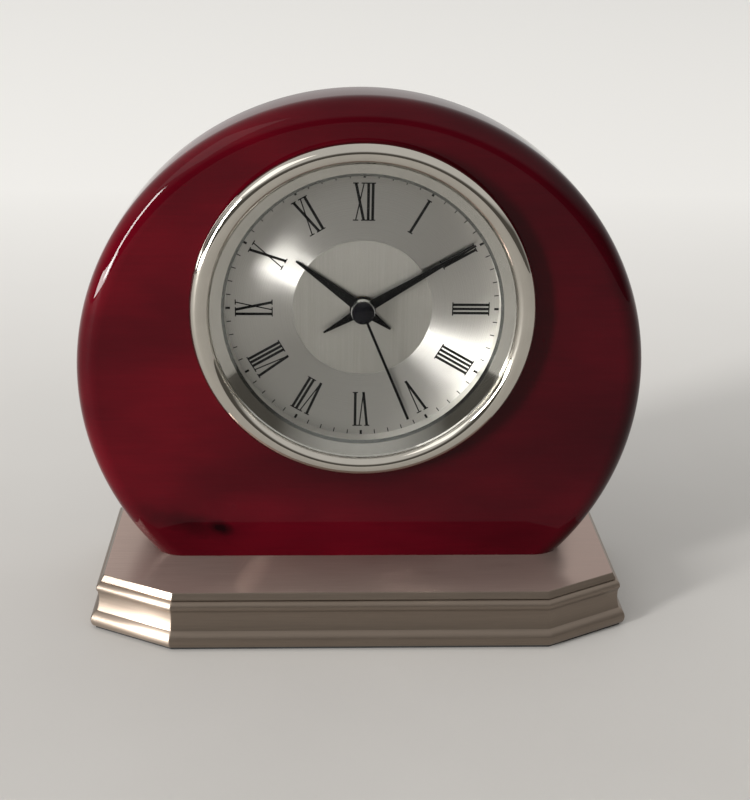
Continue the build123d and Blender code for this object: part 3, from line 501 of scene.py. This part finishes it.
def new_piece(name, bm, finishes, stands_for=(), body="clock_body", sharp_degrees=35):
    """Turn a mesh into a piece that rides on a body and may stand for CAD nodes."""
    bmesh.ops.recalc_face_normals(bm, faces=bm.faces)
    mesh = bpy.data.meshes.new(name)
    bm.to_mesh(mesh)
    bm.free()
    mesh.shade_smooth()
    mesh.set_sharp_from_angle(angle=math.radians(sharp_degrees))
    for finish in finishes:
        mesh.materials.append(materials[finish])
    piece = bpy.data.objects.new(name, mesh)
    bpy.context.scene.collection.objects.link(piece)
    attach(piece, body)
    if stands_for:
        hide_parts(*stands_for)
    return piece


def arc(start, middle, end, steps):
    """Points of the circular arc through three points, both ends included."""
    (ax, ay), (bx, by), (cx, cy) = start, middle, end
    area = 2 * (ax * (by - cy) + bx * (cy - ay) + cx * (ay - by))
    a2, b2, c2 = ax * ax + ay * ay, bx * bx + by * by, cx * cx + cy * cy
    ux = (a2 * (by - cy) + b2 * (cy - ay) + c2 * (ay - by)) / area
    uy = (a2 * (cx - bx) + b2 * (ax - cx) + c2 * (bx - ax)) / area
    radius = math.hypot(ax - ux, ay - uy)
    first = math.atan2(ay - uy, ax - ux)
    sweep = (math.atan2(cy - uy, cx - ux) - first) % math.tau
    through = (math.atan2(by - uy, bx - ux) - first) % math.tau
    if through > sweep:
        sweep -= math.tau
    turns = [first + sweep * step / steps for step in range(steps + 1)]
    return [(ux + radius * math.cos(turn), uy + radius * math.sin(turn)) for turn in turns]


def full_turn():
    """Turns of the steps of a lathe, once round."""
    return [math.tau * step / lathe_steps for step in range(lathe_steps)]


def round_point(radius, turn, depth, axis):
    """Point at a radius and a turn, clockwise from the top, about an axis that runs front to back."""
    return (radius * math.sin(turn), depth, axis + radius * math.cos(turn))


def lathe(outline):
    """Mesh of a closed outline of (depth, radius) points turned round the dial's axis."""
    bm = bmesh.new()
    rings = [
        [bm.verts.new(round_point(radius, turn, depth, dial_axis)) for depth, radius in outline]
        for turn in full_turn()
    ]
    for ring, beside in zip(rings, rings[1:] + rings[:1]):
        for place in range(len(outline)):
            after = (place + 1) % len(outline)
            bm.faces.new((ring[place], ring[after], beside[after], beside[place]))
    bmesh.ops.remove_doubles(bm, verts=bm.verts, dist=weld_distance)
    return bm


def wooden_body():
    """Disc with rounded rims and a flat foot, bored for the insert."""
    drop = body_centre - wood_low.z
    inner = body_radius - wood_edge_radius
    half = [(inner - wood_flat_margin, 0.0)]
    for step in range(wood_edge_steps + 1):
        turn = math.pi / 2 * step / wood_edge_steps
        half.append((inner + wood_edge_radius * math.sin(turn), wood_edge_radius * (1 - math.cos(turn))))
    outline = [(radius, wood_low.y + depth) for radius, depth in half]
    outline += [(radius, wood_high.y - depth) for radius, depth in reversed(half)]
    bm = bmesh.new()
    rows = []
    for radius, depth in outline:
        reach = math.pi - math.acos(drop / radius)
        turns = [reach * (2 * step / wood_arc_steps - 1) for step in range(wood_arc_steps + 1)]
        rows.append([bm.verts.new(round_point(radius, turn, depth, body_centre)) for turn in turns])
    for row, beside in zip(rows, rows[1:]):
        for step in range(wood_arc_steps):
            bm.faces.new((row[step], row[step + 1], beside[step + 1], beside[step]))
    bm.faces.new([row[0] for row in rows] + [row[-1] for row in reversed(rows)])
    bores = [
        [bm.verts.new(round_point(bore_radius, turn, depth, dial_axis)) for turn in full_turn()]
        for depth in (wood_low.y, wood_high.y)
    ]
    for step in range(lathe_steps):
        after = (step + 1) % lathe_steps
        bm.faces.new((bores[0][step], bores[0][after], bores[1][after], bores[1][step]))
    for row, bore in ((rows[0], bores[0]), (rows[-1], bores[1])):
        rim = [bm.edges.get((a, b)) for a, b in zip(row, row[1:] + row[:1])]
        hole = [bm.edges.get((a, b)) for a, b in zip(bore, bore[1:] + bore[:1])]
        bmesh.ops.triangle_fill(bm, edges=rim + hole, use_beauty=True, use_dissolve=False)
    return new_piece("wood_slab", bm, ["rosewood"], ["wood_body"])


def moulding():
    """Outline of the plinth's edge from the top down, as (outset, height) points."""
    top, sole = plinth_high.z, plinth_low.z
    band, groove, lip, cove = (top - drop for drop in (band_drop, groove_drop, lip_drop, cove_drop))
    crown = cove - foot_crown_share * (cove - sole)
    edge_arc = ((0.0, top), (edge_crown_outset, top - edge_crown_drop), (edge_outset, top - edge_drop))
    band_arc = (
        (band_top_outset, band + band_round), (band_outset, band), (band_foot_outset, band - band_round),
    )
    lip_arc = ((groove_outset, groove), (lip_outset, (groove + lip) / 2), (cove_top_outset, lip))
    cove_arc = ((cove_top_outset, lip), (cove_middle_outset, (lip + cove) / 2), (cove_foot_outset, cove))
    foot_arc = ((cove_foot_outset, cove), (foot_outset, crown), (foot_sole_outset, sole))
    points = arc(*edge_arc, edge_steps)
    points += arc(*band_arc, band_steps)
    points += arc(*lip_arc, 2 * moulding_steps)
    points += arc(*cove_arc, moulding_steps)[1:]
    points += arc(*foot_arc, 2 * moulding_steps)[1:]
    return points


def octagon(outset):
    """Corners of the plinth's plan, moved out from the top edge."""
    run = plinth_half_width - plinth_front_half_width
    length = math.hypot(run, plinth_corner_depth)
    slant = (plinth_corner_depth / length, run / length)
    slant_reach = slant[0] * plinth_front_half_width + slant[1] * plinth_half_depth + outset
    depth = plinth_half_depth + outset
    width = plinth_half_width + outset
    front = ((slant_reach - slant[1] * depth) / slant[0], depth)
    side = (width, (slant_reach - slant[0] * width) / slant[1])
    right = [(front[0], -front[1]), (side[0], -side[1]), side, front]
    return right + [(-x, -y) for x, y in right]


def plinth():
    """Moulded metal plinth, brushed on top; its moulded sides take a darker copy of the top's metal, painted
    shade for the dark reflections they show.
    """
    bm = bmesh.new()
    rows = [[bm.verts.new((x, y, height)) for x, y in octagon(outset)] for outset, height in moulding()]
    for row, below in zip(rows, rows[1:]):
        for place in range(len(row)):
            after = (place + 1) % len(row)
            bm.faces.new((row[place], row[after], below[after], below[place]))
    top = bm.faces.new(rows[0])
    bm.faces.new(rows[-1])
    top.material_index = 1
    mitres = [bm.edges.get((a, b)) for row, below in zip(rows, rows[1:]) for a, b in zip(row, below)]
    bmesh.ops.bevel(
        bm, geom=mitres, offset=plinth_mitre_radius, offset_type="OFFSET", segments=plinth_mitre_segments,
        profile=0.5, affect="EDGES", clamp_overlap=True,
    )
    return new_piece(
        "plinth", bm, ["plinth_metal", "plinth_top"], ["base_plinth"],
        sharp_degrees=plinth_sharp_degrees,
    )


def bezel():
    """Polished ring with a rounded crest, a lip over the lens and a skirt in the bore."""
    front = wood_low.y
    seat = lens_radius + bezel_seat_gap
    skirt = case_radius + bezel_seat_gap
    outline = arc(
        (lens_low.y, opening_radius), (bezel_low.y, (opening_radius + bezel_radius) / 2),
        (front - bezel_shoulder, bezel_radius), crest_steps,
    )
    outline += [
        (front, bezel_radius - bezel_draft),
        (front, skirt + bezel_skirt_wall),
        (bezel_high.y, skirt + bezel_skirt_wall),
        (bezel_high.y, skirt),
        (lens_high.y + ring_land, skirt),
        (lens_high.y + ring_land, seat),
        (lens_high.y, seat),
        (lens_high.y, opening_radius),
    ]
    return new_piece("bezel_ring", lathe(outline), ["bezel_chrome"], ["bezel"])


def sloping_ring():
    """Polished ring between the glass and the dial, with a band of painted shade round its inner edge."""
    bend = dial_low.y - ring_step
    slope = (opening_radius - ring_radius) / (bend - lens_high.y)
    band_radius = ring_radius + ring_band_width
    band_depth = bend - ring_band_width / slope
    outline = [
        (dial_low.y, ring_radius),
        (bend, ring_radius),
        (band_depth, band_radius),
        (band_depth - ring_band_step, band_radius),
        (lens_high.y, opening_radius),
        (lens_high.y, lens_radius),
        (lens_high.y + ring_land, lens_radius),
        (lens_high.y + ring_land, opening_radius - slope * ring_land + ring_wall),
        (bend, ring_radius + ring_wall),
        (dial_low.y, ring_radius + ring_wall),
    ]
    piece = new_piece(
        "sloping_ring", lathe(outline), ["ring_slope", "ring_band", "ring_wall"],
        ["dial_ring"], sharp_degrees=fine_sharp_degrees,
    )
    # The upright wall takes the third finish, and the band the second, a darkened copy of the ring's metal
    # that paints shade
    for face in piece.data.polygons:
        radius = math.hypot(face.center.x, face.center.z - dial_axis)
        if face.center.y > bend:
            face.material_index = 2
        elif radius < band_radius and face.normal.y < 0:
            face.material_index = 1
    return piece


def lens():
    """Flat glass, as far as the bezel's lip."""
    rim = opening_radius - bezel_seat_gap
    outline = [(lens_low.y, 0.0), (lens_low.y, rim), (lens_high.y, rim), (lens_high.y, 0.0)]
    return new_piece("lens_plate", lathe(outline), ["lens_glass"], ["lens"])


def dial():
    """Silver dial: a spun zone round a brushed middle, with a fine rim line between them."""
    line = dial_middle_radius - dial_rim_width / 2
    outline = [
        (dial_low.y, dial_bore),
        (dial_low.y, line),
        (dial_low.y - dial_rim_height, dial_middle_radius),
        (dial_low.y, line + dial_rim_width),
        (dial_low.y, dial_radius),
        (dial_high.y, dial_radius),
        (dial_high.y, dial_bore),
    ]
    piece = new_piece(
        "dial_plate", lathe(outline), ["dial_silver", "dial_middle"], ["dial"],
        sharp_degrees=fine_sharp_degrees,
    )
    for face in piece.data.polygons:
        if math.hypot(face.center.x, face.center.z - dial_axis) < line:
            face.material_index = 1
    return piece


def stroke(bm, start, end, width, place, raise_by=0.0):
    """One printed stroke with level ends, from (across, up) to (across, up); place maps to the dial."""
    corners = [
        (start[0] - width / 2, start[1]), (start[0] + width / 2, start[1]),
        (end[0] + width / 2, end[1]), (end[0] - width / 2, end[1]),
    ]
    front = dial_low.y - print_height - raise_by
    face = bm.faces.new([bm.verts.new(place(across, up, front)) for across, up in corners])
    sides = bmesh.ops.extrude_face_region(bm, geom=[face])
    moved = [part for part in sides["geom"] if isinstance(part, bmesh.types.BMVert)]
    for vert in moved:
        vert.co.y = dial_low.y


def on_dial(bearing):
    """Map from a mark's own (across, up from the dial's axis) to the dial, turned to a bearing."""
    turn = math.radians(bearing)

    def place(across, up, depth):
        x = across * math.cos(turn) + up * math.sin(turn)
        z = up * math.cos(turn) - across * math.sin(turn)
        return (x, depth, dial_axis + z)
    return place


def numeral(bm, letters, place):
    """Upright numeral with its foot towards the middle: stems, thick and thin arms, and serifs."""
    foot, head = numeral_foot, numeral_foot + numeral_height
    serif_width = 2 * (stem_width / 2 + serif_reach)
    widths = {"I": stem_pitch, "V": arm_spread + stem_pitch, "X": arm_spread + stem_pitch}
    across = -sum(widths[letter] for letter in letters) / 2
    for letter in letters:
        left = across + stem_pitch / 2
        right = left + arm_spread
        middle = (left + right) / 2
        arms = {
            "I": [(left, left, stem_width)],
            "V": [(middle, left, stem_width), (middle, right, hairline)],
            "X": [(right, left, stem_width), (left, right, hairline)],
        }[letter]
        for foot_at, head_at, width in arms:
            stroke(bm, (foot_at, foot), (head_at, head), width, place)
            ends = [(head_at, head - serif_thickness)] + ([] if letter == "V" else [(foot_at, foot)])
            for at, base in ends:
                stroke(bm, (at, base), (at, base + serif_thickness), serif_width, place, serif_lift)
        across += widths[letter]


def dial_print():
    """Numerals and minute marks."""
    bm = bmesh.new()
    for hour, letters in enumerate(numerals):
        numeral(bm, letters, on_dial(dial_degrees * hour / len(numerals)))
    for minute in range(minute_count):
        width = tick_width if minute % minutes_per_numeral else hour_tick_width
        bearing = dial_degrees * minute / minute_count
        stroke(bm, (0.0, tick_foot), (0.0, tick_tip), width, on_dial(bearing))
    return new_piece("dial_print", bm, ["dial_print"])


wooden_body()
plinth()
bezel()
sloping_ring()
lens()
dial()
dial_print()


def floor():
    """Plain pale floor, paler behind the clock."""
    made, tree, shader = new_material("floor_pale", Roughness=0.7, Specular_IOR_Level=0.2)
    tone = noise(tree, millimetres(tree), scale=0.01, detail=3.0)
    near = two_tone(tree, tone, floor_near_dark, floor_near_light)
    place = node(tree, "ShaderNodeSeparateXYZ", {0: node(tree, "ShaderNodeTexCoord").outputs["Object"]})
    back = rise(tree, place.outputs["Y"], 0.0, floor_fade_depth)
    wire(tree, shader, Base_Color=mix_colours(tree, back, near, floor_far))
    bm = bmesh.new()
    bmesh.ops.create_grid(bm, x_segments=1, y_segments=1, size=floor_half_size)
    mesh = bpy.data.meshes.new("floor")
    bm.to_mesh(mesh)
    bm.free()
    mesh.materials.append(made)
    ground = bpy.data.objects.new("floor", mesh)
    bpy.context.scene.collection.objects.link(ground)


def area_lamp(name, place, aim, width, height, watts):
    """Soft rectangular lamp that faces a point."""
    data = bpy.data.lights.new(name, "AREA")
    data.shape = "RECTANGLE"
    data.size, data.size_y = width, height
    data.energy = watts
    data.color = lamp_colour
    lamp = bpy.data.objects.new(name, data)
    lamp.location = place
    lamp.rotation_mode = "QUATERNION"
    lamp.rotation_quaternion = (Vector(aim) - Vector(place)).to_track_quat("-Z", "Y")
    bpy.context.scene.collection.objects.link(lamp)


def sky():
    """World: dim in front of the clock, pale behind and above it."""
    world = bpy.data.worlds.new("studio")
    bpy.context.scene.world = world
    world.use_nodes = True
    tree = world.node_tree
    place = node(tree, "ShaderNodeTexCoord")
    direction = node(tree, "ShaderNodeSeparateXYZ", {0: place.outputs["Generated"]})
    # Depth runs from 0 straight in front of the clock to 1 straight behind it
    depth = math_node(tree, "MULTIPLY_ADD", direction.outputs["Y"], 0.5, 0.5)
    walls = ramp(tree, depth, (sky_front_end, sky_front), (sky_back_start, sky_pale))
    overhead = ramp(tree, direction.outputs["Z"], (overhead_start, black), (overhead_end, white))
    shader = tree.nodes["Background"]
    wire(tree, shader, Color=mix_colours(tree, overhead, walls, sky_pale))
    shader.inputs["Strength"].default_value = sky_strength


def camera():
    """Camera at the photograph's viewing angle; the sensor's size spans the picture's height."""
    forward = Vector((
        math.sin(camera_yaw) * math.cos(camera_pitch),
        math.cos(camera_yaw) * math.cos(camera_pitch),
        -math.sin(camera_pitch),
    ))
    data = bpy.data.cameras.new("camera")
    data.sensor_width = sensor_height
    data.lens = camera_focal_pixels * sensor_height / picture_height_pixels
    data.clip_start = camera_clip_start
    eye = bpy.data.objects.new("camera", data)
    eye.location = camera_target - forward * camera_distance
    eye.rotation_mode = "QUATERNION"
    eye.rotation_quaternion = forward.to_track_quat("-Z", "Y") @ Quaternion((0, 0, 1), camera_roll)
    bpy.context.scene.collection.objects.link(eye)
    bpy.context.scene.camera = eye


floor()
sky()
for name, lamp in lamps.items():
    area_lamp(name, **lamp)
camera()
bpy.context.scene.view_settings.view_transform = "Standard"
